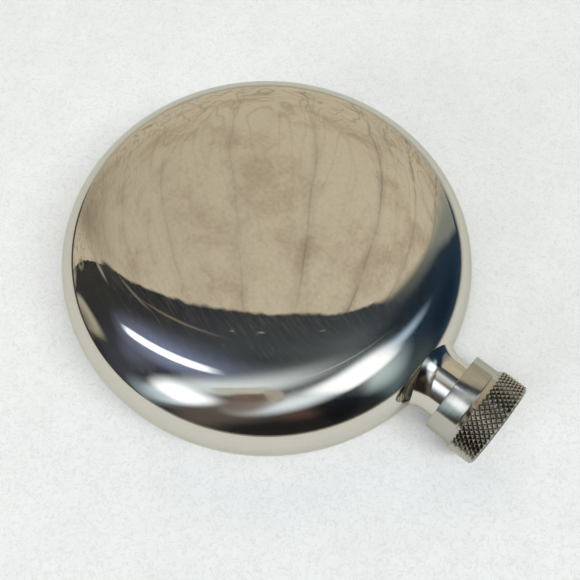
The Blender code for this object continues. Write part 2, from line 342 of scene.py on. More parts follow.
@dataclass(frozen=True)
class CapForm:
    """Sizes of the cap. X counts from its open edge.

    Attributes:
        pole_radius: radius of the last ring before each pole on the axis.
        end_radius: radius of the flat end face.
        chamfer: where the end's chamfer meets the knurl: its distance beyond the knurl's end, and its radius.
        knurl_flat: how much steeper a pyramid's sides are than in a pointed one, which leaves its top flat.
        fade_in: how the band rises from its start: its first radius and its slope.
        fade_out: how it falls to its end: its last radius, its slope and how far beyond the end it counts.
        shoulder: the conical shoulder's upper edge: its distance before the knurl, and its radius.
        shoulder_foot: the shoulder's lower edge: its distance beyond the sleeve, and how far it stands out.
        line_depth: depth of the fine turned line round the end of the sleeve.
        line_edges: where that line stops being flat and where it ends, from the end of the sleeve.
        end_ease, edge_ease, moulded_ease: how far the eased edges of the end, the shoulder and the inner pieces reach.
    """

    neck: NeckForm = NeckForm()
    length: float = 0.0124
    pole_radius: float = 0.0015
    end_radius: float = 0.0096
    chamfer: Pair = (0.00012, 0.01000)
    sleeve_radius: float = 0.00939
    sleeve_length: float = 0.0052
    knurl_radius: float = 0.01028
    knurl_depth: float = 0.00042
    knurl_count: int = 46
    knurl_start: float = 0.0061
    knurl_end: float = 0.01196
    knurl_flat: float = 0.12
    fade_in: Pair = (0.00984, 0.75)
    fade_out: tuple[float, float, float] = (0.01004, 1.3, 0.00008)
    shoulder: Pair = (0.00006, 0.00982)
    shoulder_foot: Pair = (0.00018, 0.00006)
    line_depth: float = 0.00003
    line_edges: Pair = (0.00008, 0.00012)
    end_ease: float = 0.00006
    edge_ease: float = 0.00012
    moulded_ease: float = 0.0002
    bore_radius: float = 0.0084
    bore_end: float = 0.0115
    liner_radius: float = 0.0081
    liner_recess: float = 0.0008
    liner_end: float = 0.0112
    liner_floor: float = 0.0104
    liner_bore: float = 0.00705
    seal_radius: float = 0.00675
    seal_low: float = 0.0091
    seal_high: float = 0.0101

    @property
    def knurl_half_pitch(self) -> float:
        """Half the distance along the axis from one pyramid to the next."""
        return math.pi * self.knurl_radius / self.knurl_count

    def knurl(self, along: Array, angle: Array) -> Array:
        """Radius of the diamond knurl: rows of pyramids where two families of helical grooves cross.

        Args:
            along: distances along the axis.
            angle: angles about +X, in radians.

        Returns:
            The knurl's outer radius less its depth times the distance from the nearer ridge of each family, which
            counts from the edge of the pyramid's flat top.
        """
        lean = along * self.knurl_count / (2 * math.pi * self.knurl_radius)
        turned = angle * self.knurl_count / (2 * math.pi)
        first = 2 * np.abs((turned + lean) % 1 - 0.5)
        second = 2 * np.abs((turned - lean) % 1 - 0.5)
        off = np.maximum(first, second) * (1 + self.knurl_flat) - self.knurl_flat
        return self.knurl_radius - self.knurl_depth * np.clip(off, 0, 1)

    def knurl_band(self, along: Array, angle: Array) -> Array:
        """Radius of the whole band: the knurl, cut by a cone at each end.

        Args:
            along: distances along the axis.
            angle: angles about +X, in radians.

        Returns:
            The radii.
        """
        first_radius, rise = self.fade_in
        last_radius, fall, beyond = self.fade_out
        ends = np.minimum((self.knurl_end + beyond - along) * fall + last_radius,
                          (along - self.knurl_start) * rise + first_radius)
        return np.minimum(ends, self.knurl(along, angle))

    def end_profile(self) -> Array:
        """The end face and its chamfer.

        Returns:
            Points of (x, radius), from the axis outwards.
        """
        beyond, radius = self.chamfer
        return rounded([(self.length, self.pole_radius), (self.length, self.end_radius),
                        (self.knurl_end + beyond, radius)], self.end_ease)

    def sleeve_profile(self) -> Array:
        """The shoulder, the turned line, the sleeve and the blind bore.

        Returns:
            Points of (x, radius), from the knurl to the open edge and from there to the bore's end.
        """
        before, shoulder_radius = self.shoulder
        beyond, out = self.shoulder_foot
        flat_to, line_end = self.line_edges
        length, radius = self.sleeve_length, self.sleeve_radius
        return rounded([
            (self.knurl_start - before, shoulder_radius),
            (length + beyond, radius + out),
            (length, radius - self.line_depth),
            (length - flat_to, radius - self.line_depth),
            (length - line_end, radius),
            (0.0, radius),
            (0.0, self.bore_radius),
            (self.bore_end, self.bore_radius),
            (self.bore_end, self.pole_radius),
        ], self.edge_ease)


# ---- Meshes


@dataclass
class Solid:
    """A closed mesh in the making: points, faces, and exact normals where a face takes them.

    Attributes:
        points: lists of point arrays.
        normals: lists of normals, one for each point, zero where the face's own shading is used.
        faces: lists of face arrays, three or four corners wide.
        exact: for each array of faces, whether it takes its points' normals.
        flat: for each array of faces, whether it is shaded flat.
    """

    points: list[Array] = field(default_factory=list)
    normals: list[Array] = field(default_factory=list)
    faces: list[Array] = field(default_factory=list)
    exact: list[bool] = field(default_factory=list)
    flat: list[bool] = field(default_factory=list)
    count: int = 0

    def add_points(self, points: Array, normals: Array | None = None) -> Array:
        """Adds points of any grid shape.

        Args:
            points: the points, the last axis being X, Y and Z.
            normals: their normals, or None.

        Returns:
            The indices of the points, in the grid's shape.
        """
        index = self.count + np.arange(points[..., 0].size).reshape(points.shape[:-1])
        self.points.append(points.reshape(-1, 3))
        self.normals.append(np.zeros((index.size, 3)) if normals is None else normals.reshape(-1, 3))
        self.count += index.size
        return index

    def add_faces(self, faces: Array, exact: bool = False, flat: bool = False) -> None:
        """Adds faces.

        Args:
            faces: the indices of each face's corners.
            exact: whether the faces take their points' normals.
            flat: whether they are shaded flat.
        """
        self.faces.append(faces)
        self.exact.append(exact)
        self.flat.append(flat)

    def add_grid(self, index: Array, closed: bool = False, exact: bool = False) -> None:
        """Adds the quads between neighbouring rows and columns of indices.

        Args:
            index: rows by columns of point indices.
            closed: whether the last column joins the first.
            exact: whether the faces take their points' normals.
        """
        here = index if closed else index[:, :-1]
        after = np.roll(index, -1, axis=1) if closed else index[:, 1:]
        quads = np.stack([here[:-1], after[:-1], after[1:], here[1:]], axis=-1)
        self.add_faces(quads.reshape(-1, 4), exact)

    def add_split_grid(self, index: Array, falling: Array) -> None:
        """Adds flat triangles between neighbouring rows and columns, the last column joining the first.

        Args:
            index: rows by columns of point indices.
            falling: for each cell, whether it is split from its second corner to its fourth.
        """
        after = np.roll(index, -1, axis=1)
        corners = (index[:-1], after[:-1], after[1:], index[1:])
        for split, order in ((~falling, (0, 1, 2, 0, 2, 3)), (falling, (0, 1, 3, 1, 2, 3))):
            halves = np.stack([corners[k][split] for k in order], axis=-1)
            self.add_faces(halves.reshape(-1, 3), flat=True)

    def add_fan(self, ring: Array, pole: int, closed: bool = False, exact: bool = False) -> None:
        """Adds the triangles from a row of points to one pole.

        Args:
            ring: the indices of the row.
            pole: the pole's index.
            closed: whether the last point joins the first.
            exact: whether the faces take their points' normals.
        """
        here = ring if closed else ring[:-1]
        after = np.roll(ring, -1) if closed else ring[1:]
        self.add_faces(np.stack([here, after, np.full(here.shape, pole)], axis=-1), exact)

    def build(self, name: str, sharp: float = math.radians(35)) -> bpy.types.Object:
        """Makes the object.

        Args:
            name: the piece's name.
            sharp: edges that turn by more than this are left sharp.

        Returns:
            The object, at the origin, with all faces turned outwards.
        """
        points = np.concatenate(self.points)
        normals = np.concatenate(self.normals)
        if self.volume(points) < 0:
            self.faces = [faces[:, ::-1] for faces in self.faces]
        mesh = bpy.data.meshes.new(name)
        mesh.from_pydata(points.tolist(), [], [face for faces in self.faces for face in faces.tolist()])
        flat = np.concatenate([np.full(len(faces), level) for faces, level in zip(self.faces, self.flat)])
        mesh.polygons.foreach_set("use_smooth", ~flat)
        mesh.set_sharp_from_angle(angle=sharp)
        if any(self.exact):
            corners = [normals[faces.reshape(-1)] * exact for faces, exact in zip(self.faces, self.exact)]
            mesh.normals_split_custom_set(np.concatenate(corners).tolist())
        mesh.update()
        made = bpy.data.objects.new(name, mesh)
        bpy.context.scene.collection.objects.link(made)
        return made

    def volume(self, points: Array) -> float:
        """Six times the signed volume within the faces.

        Args:
            points: all points, in the order of their indices.

        Returns:
            The sum over the faces, above zero where they face outwards.
        """
        total = 0.0
        for faces in self.faces:
            first, second, third = (points[faces[:, i]] for i in range(3))
            total += float(np.einsum("ij,ij->", first, np.cross(second, third)))
            if faces.shape[1] == 4:
                fourth = points[faces[:, 3]]
                total += float(np.einsum("ij,ij->", first, np.cross(third, fourth)))
        return total


def rounded(corners: list[Pair], radius: float, steps: int = 3) -> Array:
    """A profile of (x, radius) points whose corners are eased by short curves.

    Args:
        corners: the profile's corners.
        radius: how far each curve reaches along the two sides of its corner.
        steps: how many points each curve gets, less one.

    Returns:
        The points: each inner corner becomes a quadratic curve between a point on each of its sides.
    """
    path = np.array(corners)
    found = [path[:1]]
    share = np.linspace(0, 1, steps + 1)[:, None]
    for before, corner, after in zip(path, path[1:], path[2:]):
        into = before - corner
        out = after - corner
        start = corner + into * min(radius / np.hypot(*into), 0.45)
        end = corner + out * min(radius / np.hypot(*out), 0.45)
        found.append((1 - share) ** 2 * start + 2 * share * (1 - share) * corner + share ** 2 * end)
    found.append(path[-1:])
    return np.concatenate(found)


def turned_points(along: Array, radius: Array, angle: Array, middle: float) -> Array:
    """Points round the neck's axis: X as given, Y and Z from the radius and the angle about +X."""
    along, radius, angle = np.broadcast_arrays(along, radius, angle)
    return np.stack([along, radius * np.cos(angle), middle + radius * np.sin(angle)], axis=-1)


# ---- Shader maths


class Value:
    """A shader socket that can stand in sums."""

    def __init__(self, graph: "Graph", socket: bpy.types.NodeSocket) -> None:
        """Keeps the graph and the socket."""
        self.graph = graph
        self.socket = socket

    def __add__(self, other: "Term") -> "Value":
        """The sum."""
        return self.graph.math("ADD", self, other)

    def __radd__(self, other: "Term") -> "Value":
        """The sum, the other way round."""
        return self.graph.math("ADD", other, self)

    def __sub__(self, other: "Term") -> "Value":
        """The difference."""
        return self.graph.math("SUBTRACT", self, other)

    def __rsub__(self, other: "Term") -> "Value":
        """The difference, the other way round."""
        return self.graph.math("SUBTRACT", other, self)

    def __mul__(self, other: "Term") -> "Value":
        """The product."""
        return self.graph.math("MULTIPLY", self, other)

    def __rmul__(self, other: "Term") -> "Value":
        """The product, the other way round."""
        return self.graph.math("MULTIPLY", other, self)

    def __truediv__(self, other: "Term") -> "Value":
        """The quotient."""
        return self.graph.math("DIVIDE", self, other)


Term = Value | float


class Graph:
    """A node tree that is built from expressions."""

    def __init__(self, tree: bpy.types.NodeTree) -> None:
        """Clears the tree."""
        self.tree = tree
        tree.nodes.clear()

    def node(self, kind: str, settings: dict[str, Any] | None = None, inputs: dict[Any, Any] | None = None,
             output: int | str = 0) -> Value:
        """Adds one node.

        Args:
            kind: the node's type.
            settings: its own settings, which are set first.
            inputs: values or links of its sockets, by name or number.
            output: the output that is wanted.

        Returns:
            That output.
        """
        made = self.tree.nodes.new(kind)
        for name, value in (settings or {}).items():
            setattr(made, name, value)
        for name, value in (inputs or {}).items():
            if isinstance(value, Value):
                self.tree.links.new(value.socket, made.inputs[name])
            else:
                made.inputs[name].default_value = value
        return Value(self, made.outputs[output])

    def math(self, operation: str, *terms: Term) -> Value:
        """One Math node."""
        return self.node("ShaderNodeMath", {"operation": operation}, dict(enumerate(terms)))

    def vector(self, operation: str, *terms: Any, output: int = 0) -> Value:
        """One Vector Math node."""
        return self.node("ShaderNodeVectorMath", {"operation": operation}, dict(enumerate(terms)), output)

    def dot(self, vector: Value, fixed: Color) -> Value:
        """The dot product of a vector and a fixed one."""
        return self.vector("DOT_PRODUCT", vector, fixed, output=1)

    def smooth(self, value: Value, low: float, high: float, start: float = 0.0, end: float = 1.0) -> Value:
        """A smooth step from start at low to end at high."""
        return self.node("ShaderNodeMapRange", {"interpolation_type": "SMOOTHSTEP"},
                         {0: value, 1: low, 2: high, 3: start, 4: end})

    def varied(self, noise: Value, amount: float, spread: Pair) -> Value:
        """An amount that varies with a noise between two shares of it."""
        return self.smooth(noise, *NOISE_RANGE, *(amount * share for share in spread))

    def mix(self, share: Term, first: Any, second: Any) -> Value:
        """A mix of two colours.

        Args:
            share: the second colour's share.
            first: the first colour, fixed or a socket.
            second: the second colour, the same.

        Returns:
            The mixed colour.
        """
        ends = {6: first, 7: second}
        inputs = {slot: end if isinstance(end, Value) else (*end, 1.0) for slot, end in ends.items()}
        return self.node("ShaderNodeMix", {"data_type": "RGBA"}, {0: share, **inputs}, 2)

    def noise(self, place: Value, scale: float, detail: float = 2.0, roughness: float = 0.5,
              distortion: float = 0.0) -> Value:
        """A Noise texture's value."""
        return self.node("ShaderNodeTexNoise", {}, {"Vector": place, "Scale": scale, "Detail": detail,
                                                    "Roughness": roughness, "Distortion": distortion})

    def mapped(self, place: Value, scale: Color, turn: Color = (0.0, 0.0, 0.0)) -> Value:
        """Coordinates that are turned and then scaled."""
        turned = self.node("ShaderNodeMapping", {}, {"Vector": place, "Rotation": turn})
        return self.vector("MULTIPLY", turned, scale)

    def objects(self) -> Value:
        """Object coordinates."""
        return self.node("ShaderNodeTexCoord", output="Object")

    def bump(self, height: Value, distance: float) -> Value:
        """A Bump node's normal."""
        return self.node("ShaderNodeBump", {}, {"Strength": 1.0, "Distance": distance, "Height": height})

    def surface(self, inputs: dict[str, Any]) -> None:
        """A Principled shader on the material's output."""
        shader = self.node("ShaderNodeBsdfPrincipled", {}, inputs)
        self.node_output("ShaderNodeOutputMaterial", shader)

    def node_output(self, kind: str, shader: Value) -> None:
        """The tree's output node, fed by a shader."""
        made = self.tree.nodes.new(kind)
        self.tree.links.new(shader.socket, made.inputs["Surface"])


def finish_name(slot: str) -> str:
    """The name of a finish's material, kept apart from the name of its slot."""
    return f"{slot}_finish"


def new_graph(slot: str) -> tuple[bpy.types.Material, Graph]:
    """A new material.

    Args:
        slot: the slot that it finishes.

    Returns:
        The material and its empty graph.
    """
    made = bpy.data.materials.new(finish_name(slot))
    made.use_nodes = True
    return made, Graph(made.node_tree)


# ---- Finishes


@dataclass(frozen=True)
class PolishedSteel:
    """Mirror polished stainless steel with faint hairlines along one slanting direction.

    Attributes:
        roughness: the mirror's own roughness, which soft clouds vary by its spread.
        edge_tint: the metal's tint where it is seen at a low angle.
        haze: ramp of the haze's share, by the height of the hairlines' noise.
        hairline_scale: scales of that noise along the hairlines and across them.
        hairline_depth: depth of the hairlines in the haze.
        waviness: their depth in the mirror.
    """

    slot: str = "polished_steel"
    color: Color = (0.67, 0.63, 0.56)
    roughness: float = 0.012
    spread: Pair = (0.8, 1.3)
    cloud_scale: float = 55.0
    haze_roughness: float = 0.24
    edge_tint: Color = (0.76, 0.79, 0.71)
    haze: Ramp = (0.42, 0.76, 0.0, 0.24)
    hairline_turn: float = math.radians(15)
    hairline_scale: Triple = (190.0, 4200.0, 4200.0)
    hairline_depth: float = 0.000012
    waviness: float = 0.0000002

    def material(self) -> bpy.types.Material:
        """Makes the material.

        Returns:
            A clear mirror, mixed along stretched noise with the haze of the hairlines that polishing left.
        """
        made, graph = new_graph(self.slot)
        place = graph.objects()
        lines = graph.mapped(place, self.hairline_scale, (0.0, 0.0, self.hairline_turn))
        height = graph.noise(lines, 1.0, 3.0, 0.6)
        clouds = graph.noise(place, self.cloud_scale, 3.0, 0.6)
        rough = graph.varied(clouds, self.roughness, self.spread)
        common = {"Base Color": (*self.color, 1.0), "Metallic": 1.0, "Specular Tint": (*self.edge_tint, 1.0)}
        mirror = graph.node("ShaderNodeBsdfPrincipled", {}, {
            **common, "Roughness": rough, "Normal": graph.bump(height, self.waviness)})
        haze = graph.node("ShaderNodeBsdfPrincipled", {}, {
            **common, "Roughness": self.haze_roughness, "Normal": graph.bump(height, self.hairline_depth)})
        graph.node_output("ShaderNodeOutputMaterial", graph.node("ShaderNodeMixShader", {}, {
            0: graph.smooth(height, *self.haze), 1: mirror, 2: haze}))
        return made


def lit(color: Color) -> Color:
    """The light that shows as this colour in the polished steel."""
    return tuple(value / metal for value, metal in zip(color, PolishedSteel.color))


@dataclass(frozen=True)
class TurnedSteel:
    """Turned stainless steel: fine rings round the neck's axis, and painted shade in the knurl's grooves.

    Attributes:
        cap: the cap, whose axis and knurl the pattern follows.
        ring_scale: scales of the rings' noise along the axis and across it.
        groove: ramp of the grooves' share, by the distance from the axis.
        band_fade: how far the grooves' painted shade and roughness take to set in beyond the shoulder.
        groove_shade_share: how much of the painted shade in the grooves shows.
        groove_roughness: the roughness that the grooves add.
    """

    cap: CapForm = CapForm()
    slot: str = "satin_steel"
    color: Color = (0.50, 0.48, 0.415)
    edge_tint: Color = (0.66, 0.69, 0.60)
    # Painted shade: the dark colour that the knurl's grooves take towards their roots.
    groove_shade_color: Color = (0.15, 0.13, 0.105)
    roughness: float = 0.10
    spread: Pair = (0.85, 1.25)
    cloud_scale: float = 700.0
    ring_scale: Triple = (9000.0, 60.0, 60.0)
    ring_depth: float = 0.000010
    groove: Ramp = (0.00984, 0.01006, 1.0, 0.0)
    band_fade: float = 0.0003
    groove_shade_share: float = 0.9
    groove_roughness: float = 0.15

    def material(self) -> bpy.types.Material:
        """Makes the material.

        Returns:
            Rings as noise along X, and painted shade in the grooves by the distance from the axis beyond the shoulder.
        """
        made, graph = new_graph(self.slot)
        place = graph.objects()
        height = graph.noise(graph.mapped(place, self.ring_scale), 1.0, 2.0, 0.6)
        from_axis = graph.vector("SUBTRACT", place, (0.0, 0.0, self.cap.neck.body.middle))
        out = graph.vector("LENGTH", graph.vector("MULTIPLY", from_axis, (0.0, 1.0, 1.0)), output=1)
        band_x = self.cap.neck.cap_edge_x + self.cap.knurl_start
        on_band = graph.smooth(graph.dot(place, (1.0, 0.0, 0.0)), band_x, band_x + self.band_fade)
        groove = graph.smooth(out, *self.groove) * on_band
        clouds = graph.noise(place, self.cloud_scale, 3.0, 0.6)
        rough = graph.varied(clouds, self.roughness, self.spread) + groove * self.groove_roughness
        # Painted shade: the knurl's grooves are darkened towards their roots.
        color = graph.mix(groove * self.groove_shade_share, self.color, self.groove_shade_color)
        graph.surface({"Base Color": color, "Metallic": 1.0, "Specular Tint": (*self.edge_tint, 1.0),
                       "Roughness": rough, "Normal": graph.bump(height, self.ring_depth)})
        return made


@dataclass(frozen=True)
class LinerPlastic:
    """White moulded plastic."""

    slot: str = "liner_plastic"
    color: Color = (0.78, 0.78, 0.75)
    roughness: float = 0.42
    spread: Pair = (0.9, 1.15)
    grain_scale: float = 2600.0
    grain_depth: float = 0.000004

    def material(self) -> bpy.types.Material:
        """Makes the material.

        Returns:
            Plain plastic with a faint moulded grain.
        """
        made, graph = new_graph(self.slot)
        grain = graph.noise(graph.objects(), self.grain_scale)
        rough = graph.varied(grain, self.roughness, self.spread)
        graph.surface({"Base Color": (*self.color, 1.0), "Roughness": rough,
                       "Normal": graph.bump(grain, self.grain_depth)})
        return made


@dataclass(frozen=True)
class SealSilicone:
    """Soft translucent-looking silicone, matt and slightly grey."""

    slot: str = "seal_silicone"
    color: Color = (0.70, 0.70, 0.68)
    shade_color: Color = (0.62, 0.62, 0.60)
    roughness: float = 0.58
    grain_scale: float = 900.0
    grain_depth: float = 0.000006

    def material(self) -> bpy.types.Material:
        """Makes the material.

        Returns:
            A soft matt skin with a faint unevenness.
        """
        made, graph = new_graph(self.slot)
        grain = graph.noise(graph.objects(), self.grain_scale, 3.0)
        tone = graph.mix(graph.smooth(grain, *NOISE_RANGE), self.color, self.shade_color)
        graph.surface({"Base Color": tone, "Roughness": self.roughness,
                       "Normal": graph.bump(grain, self.grain_depth)})
        return made


@dataclass(frozen=True)
class FloorPaint:
    """Plain pale paint with a faint crinkled tooth.

    Attributes:
        shade: how bright the darker clouds are, as a share of the colour.
        clouds: where in the noise's range the clouds go from the one to the other.
        wrinkle_twist: how far the wrinkles' noise is distorted.
        crease: ramp of the creases' share, by how far the noise is from its middle.
        away: the distances between which the floor takes its painted far shade.
        crease_depth: depth of the creases in the bump.
    """

    slot: str = "floor_paint"
    color: Color = srgb(244, 245, 243)
    shade: float = 0.96
    # Painted shade: the darker colour of the wrinkles' creases.
    crease_shade_color: Color = srgb(208, 210, 203)
    # Painted shade: the darker colour that the floor takes away from the flask.
    far_shade_color: Color = srgb(232, 233, 228)
    roughness: float = 0.75
    gloss: float = 0.2
    cloud_scale: float = 70.0
    clouds: Pair = (0.25, 0.75)
    wrinkle_scale: float = 560.0
    wrinkle_twist: float = 1.2
    crease: Ramp = (0.0, 0.045, 0.35, 0.0)
    crease_depth: float = 0.00006
    away: Pair = (0.10, 0.50)

    def material(self) -> bpy.types.Material:
        """Makes the material.

        Returns:
            Paint with soft clouds in its colour, fine wrinkles as painted shade in the colour and as bump, and painted
            shade far away.
        """
        made, graph = new_graph(self.slot)
        place = graph.objects()
        clouds = graph.smooth(graph.noise(place, self.cloud_scale, 4.0, 0.65), *self.clouds)
        wrinkle = graph.noise(place, self.wrinkle_scale, 2.0, 0.5, self.wrinkle_twist)
        crease = graph.smooth(graph.math("ABSOLUTE", wrinkle - 0.5), *self.crease)
        away = graph.smooth(graph.vector("LENGTH", place, output=1), *self.away)
        tone = graph.mix(clouds, tuple(value * self.shade for value in self.color), self.color)
        # Painted shade: the wrinkles' creases are darkened in the colour.
        tone = graph.mix(crease, tone, self.crease_shade_color)
        # Painted shade: the floor grows darker away from the flask.
        graph.surface({"Base Color": graph.mix(away, tone, self.far_shade_color), "Roughness": self.roughness,
                       "Specular IOR Level": self.gloss, "Normal": graph.bump(crease, -self.crease_depth)})
        return made


# ---- The flask's sub-assemblies


def finish_piece(piece: bpy.types.Object, finish: Any, body: str, node: str) -> bpy.types.Object:
    """Gives a piece its finish, ties it to its body and hides the solid that it stands for.

    Args:
        piece: the new piece.
        finish: the finish, which names its slot and makes its material.
        body: the body that the piece moves with.
        node: the solid that it replaces.

    Returns:
        The piece.
    """
    made = bpy.data.materials.get(finish_name(finish.slot)) or finish.material()
    piece.data.materials.append(made)
    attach(piece, body)
    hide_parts(node)
    log.info("%s: %d faces, in %s, on %s", piece.name, len(piece.data.polygons), finish.slot, body)
    return piece


@dataclass
class Body:
    """The two pressed half shells, joined at the rim, with a round opening for the neck's flare."""

    form: BodyForm = BodyForm()
    neck: NeckForm = NeckForm()
    rows: int = 190
    columns: int = 200
    finish: PolishedSteel = PolishedSteel()

    def angles(self, half: Half) -> Array:
        """Angles about the neck's axis of the columns of one half.

        Args:
            half: the half.

        Returns:
            The angles, from +Y round to -Y. They are even in a space where the body is as tall as it is wide.
        """
        even = np.linspace(0, math.pi, self.columns + 1)
        across = np.cos(even)
        across[0], across[-1] = 1.0, -1.0
        height = np.sin(even)
        height[0] = height[-1] = 0.0
        return np.arctan2(half.value * self.form.squash * height, across)

    def outer(self, half: Half) -> Array:
        """Outer points of one half.

        Args:
            half: the half.

        Returns:
            Rows by columns of points, with the middle plane at height 0. Each column starts on the neck's flare, and
            its rays turn evenly from there to the far end of the body.
        """
        angle = self.angles(half)
        ring = self.neck.on_rim(self.neck.foot_radius(angle), angle, np.zeros(angle.shape))
        tall = ring / np.array([1.0, 1.0, self.form.squash])
        start = np.arccos(tall[:, 0] / np.linalg.norm(tall, axis=1))
        share = np.linspace(0, 1, self.rows)[:, None]
        turn = start + (math.pi - start) * share
        sideways = tall[:, 1:] / np.linalg.norm(tall[:, 1:], axis=1, keepdims=True)
        ray = np.stack([np.cos(turn), np.sin(turn) * sideways[:, 0],
                        np.sin(turn) * sideways[:, 1] * self.form.squash], axis=-1)
        points = self.form.on_ray(ray)
        points[0] = ring
        points[-1] = (-self.form.radius, 0.0, 0.0)
        points[:, 0, 2] = 0.0
        points[:, -1, 2] = 0.0
        return points

    def shell(self, half: Half, name: str) -> bpy.types.Object:
        """One half shell: its outer surface, the inner one a wall below it, and the border between them.

        Args:
            half: the half.
            name: the piece's name.

        Returns:
            The closed shell.
        """
        outer = self.outer(half)
        normals = self.form.normal(outer)
        inner = outer - self.form.wall * normals
        inner[:, 0, 2] = 0.0
        inner[:, -1, 2] = 0.0
        if half is Half.BACK:
            under = outer[..., 2] < -self.form.middle
            outer[..., 2] = np.maximum(outer[..., 2], -self.form.middle)
            inner[..., 2] = np.maximum(inner[..., 2], self.form.wall - self.form.middle)
            normals[under] = (0.0, 0.0, -1.0)
        lift = np.array([0.0, 0.0, self.form.middle])
        solid = Solid()
        skins = []
        for points, facing in ((outer, normals), (inner, -normals)):
            index = solid.add_points(points[:-1] + lift, facing[:-1])
            pole = int(solid.add_points(points[-1, :1] + lift, facing[-1, :1])[0])
            skins.append((index, pole))
        (top, top_pole), (low, low_pole) = skins
        solid.add_grid(top, exact=True)
        solid.add_fan(top[-1], top_pole, exact=True)
        solid.add_grid(low[:, ::-1], exact=True)
        solid.add_fan(low[-1, ::-1], low_pole, exact=True)
        edge_top = np.concatenate([top[::-1, 0], top[0, 1:], top[1:, -1], [top_pole]])
        edge_low = np.concatenate([low[::-1, 0], low[0, 1:], low[1:, -1], [low_pole]])
        solid.add_grid(np.stack([edge_low, edge_top]), closed=True)
        return solid.build(name)

    def build(self) -> list[bpy.types.Object]:
        """Both half shells."""
        front = finish_piece(self.shell(Half.FRONT, "front_shell_skin"), self.finish, "flask", "front_shell")
        back = finish_piece(self.shell(Half.BACK, "back_shell_skin"), self.finish, "flask", "back_shell")
        return [front, back]


@dataclass
class Neck:
    """The neck: a flare that is brazed to the shells, a short tube, the thread and the open mouth."""

    form: NeckForm = NeckForm()
    flare_rows: int = 16
    tube_rows: int = 4
    thread_rows: int = 100
    slope_step: float = 0.0001
    finish: PolishedSteel = PolishedSteel()

    def flare_normals(self, share: Array, angle: Array) -> Array:
        """Outward directions of the flare, square to two short steps over it.

        Args:
            share: 0 where the flare meets the shells and 1 where it becomes the tube.
            angle: angles about +X from +Y.

        Returns:
            Unit vectors.
        """
        step = self.slope_step
        low, high = np.maximum(share - step, 0), np.minimum(share + step, 1)
        over = self.form.flare_points(high, angle) - self.form.flare_points(low, angle)
        round_it = self.form.flare_points(share, angle + step) - self.form.flare_points(share, angle - step)
        found = np.cross(round_it, over)
        found /= np.maximum(np.linalg.norm(found, axis=-1, keepdims=True), TINY)
        return found

    def build(self) -> bpy.types.Object:
        """The neck.

        Returns:
            Its closed surface, from the foot of the flare over the mouth and back under the flare.
        """
        form = self.form
        body = Body(form.body, form)
        angle = np.concatenate([body.angles(Half.FRONT)[:-1], body.angles(Half.BACK)[:0:-1]])
        middle = form.body.middle
        lift = np.array([0.0, 0.0, middle])

        spread = np.broadcast_arrays(np.linspace(0, 1, self.flare_rows)[:, None], angle)
        flare = form.flare_points(*spread)
        flare_normal = self.flare_normals(*spread)
        top = flare[-1]
        step_x = form.cap_edge_x + form.covered
        share = np.linspace(0, 1, self.tube_rows)[1:, None]
        along = top[:, 0] * (1 - share) + step_x * share
        tube = turned_points(along, form.tube_radius(along), angle, 0.0)
        radial = np.stack([np.full(angle.size, form.taper), np.cos(angle), np.sin(angle)], axis=-1)
        radial /= math.hypot(form.taper, 1)
        flare_normal[-1] = radial

        solid = Solid()
        outside = np.concatenate([flare, tube]) + lift
        facing = np.concatenate([flare_normal, np.broadcast_to(radial, tube.shape)])
        index = solid.add_points(outside, facing)
        solid.add_grid(index, closed=True, exact=True)

        along = np.linspace(step_x, form.mouth_x - form.mouth_chamfer, self.thread_rows)[:, None]
        ridge = form.thread.ridge(along, angle, form.first_turn_x, form.thread_start)
        threaded = turned_points(along, form.root_radius + ridge, angle, middle)
        mouth = [
            (form.mouth_x, form.root_radius - form.mouth_chamfer),
            (form.mouth_x, form.mouth_radius + form.mouth_chamfer),
            (form.mouth_x - form.mouth_chamfer, form.mouth_radius),
            (form.inner_end_x, form.mouth_radius),
            (form.inner_end_x, form.root_radius),
        ]
        lip = np.array(mouth)[:, :, None]
        bored = turned_points(lip[:, 0], lip[:, 1], angle, middle)
        under_across = form.radius + (form.foot_radius(angle) - form.radius) * spread[0]
        covered = form.on_rim(under_across, spread[1], 0.0)
        covered = covered - form.body.wall * form.body.normal(covered) + lift
        rest = solid.add_points(np.concatenate([threaded, bored, covered]))
        solid.add_grid(np.concatenate([index[-1:], rest, index[:1]]), closed=True)
        piece = solid.build("neck_skin")
        return finish_piece(piece, self.finish, "flask", "neck")


